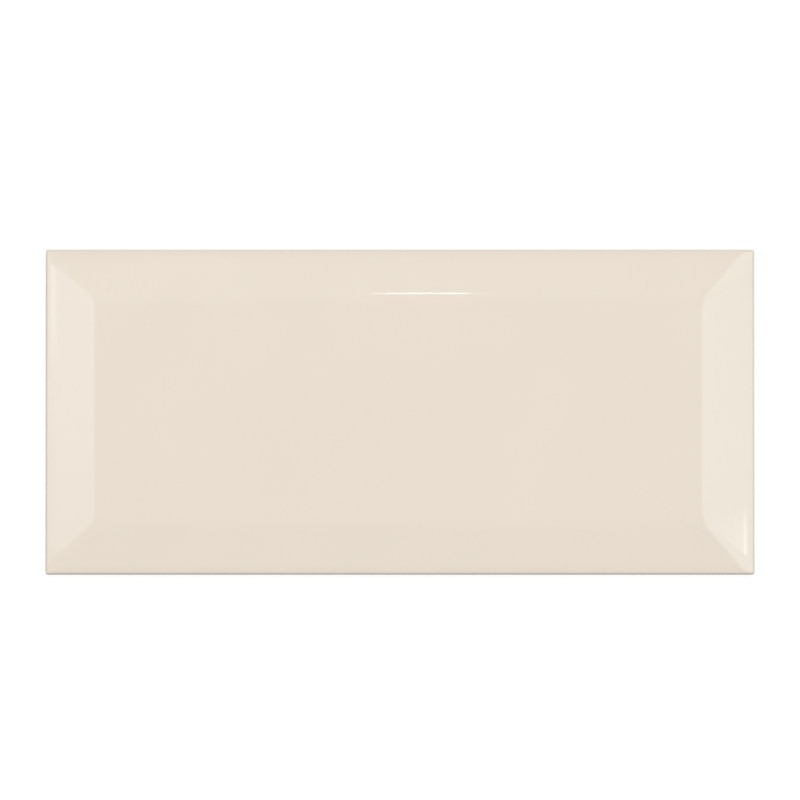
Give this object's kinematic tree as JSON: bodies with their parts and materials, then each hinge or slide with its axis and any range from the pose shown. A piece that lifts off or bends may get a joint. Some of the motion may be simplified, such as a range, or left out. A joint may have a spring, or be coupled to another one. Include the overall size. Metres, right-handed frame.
{
  "type": "wall tile",
  "caption": "Rectangular glazed ceramic wall tile with a flat middle and wide sloping bevels on all sides, keyed on the back for adhesive.",
  "frame": {"origin": "middle of the tile's back, in the plane of the ribs that touch the wall or the floor", "axes": "+Z out of the glazed face, +X along the tile's length, +Y along its height as the picture shows it, so that the top of the picture is +Y"},
  "size_m": [0.218, 0.1, 0.008],
  "materials": {
    "glazed_body": "gloss"
  },
  "bodies": {
    "root": {"wall_tile": "glazed_body"}
  },
  "joints": []
}
